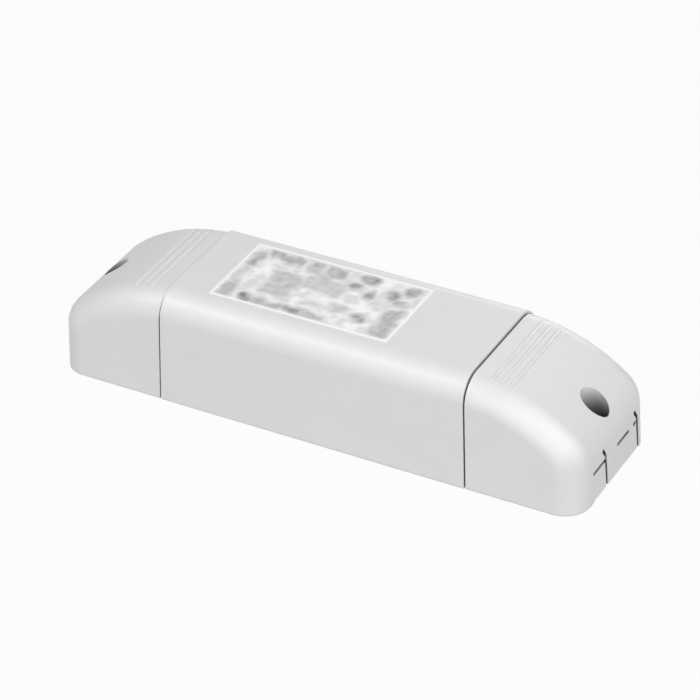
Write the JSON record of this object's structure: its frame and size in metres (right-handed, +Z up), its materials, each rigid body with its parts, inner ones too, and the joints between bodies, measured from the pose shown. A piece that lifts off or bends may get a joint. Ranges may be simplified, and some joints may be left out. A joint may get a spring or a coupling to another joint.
{
  "type": "led driver",
  "caption": "Constant-current LED driver in a long white plastic housing, with rounded screwed end caps over the terminals, tear-out cable tabs and a label field on top.",
  "frame": {"origin": "middle of the underside, on the surface the driver is fixed to", "axes": "+X along the length from the mains end to the output end, +Y to the back, +Z up from the mounting surface"},
  "size_m": [0.15, 0.0426, 0.0312],
  "materials": {
    "housing": "fine satin",
    "label": "coated, with plain printed fields",
    "screw": "zinc plated",
    "board": "solder resist",
    "terminal": "moulded",
    "cage": "plated",
    "fuse": "moulded",
    "varistor": "dipped",
    "film_capacitor": "moulded",
    "ferrite": "sintered",
    "winding": "enamelled wire",
    "black_package": "moulded",
    "capacitor_can": "sleeved",
    "heatsink": "mill",
    "bobbin": "moulded",
    "disc_capacitor": "dipped"
  },
  "bodies": {
    "root": {"base": "housing", "body_cover": "housing", "mains_cap": "housing", "output_cap": "housing", "cap_screws": "screw", "label": "label", "circuit_board": "board", "mains_terminal": "terminal", "output_terminal": "terminal", "terminal_cages": "cage", "terminal_screws": "screw", "fuse": "fuse", "varistor": "varistor", "x_capacitor": "film_capacitor", "choke_core": "ferrite", "choke_windings": "winding", "bridge_rectifier": "black_package", "bulk_capacitor": "capacitor_can", "power_transistor": "black_package", "heatsink_plate": "heatsink", "transistor_screw": "screw", "transformer_core": "ferrite", "transformer_bobbin": "bobbin", "transformer_winding": "winding", "y_capacitor": "disc_capacitor", "optocoupler": "black_package", "controller_chip": "black_package", "output_diode": "black_package", "output_capacitors": "capacitor_can"}
  },
  "joints": []
}
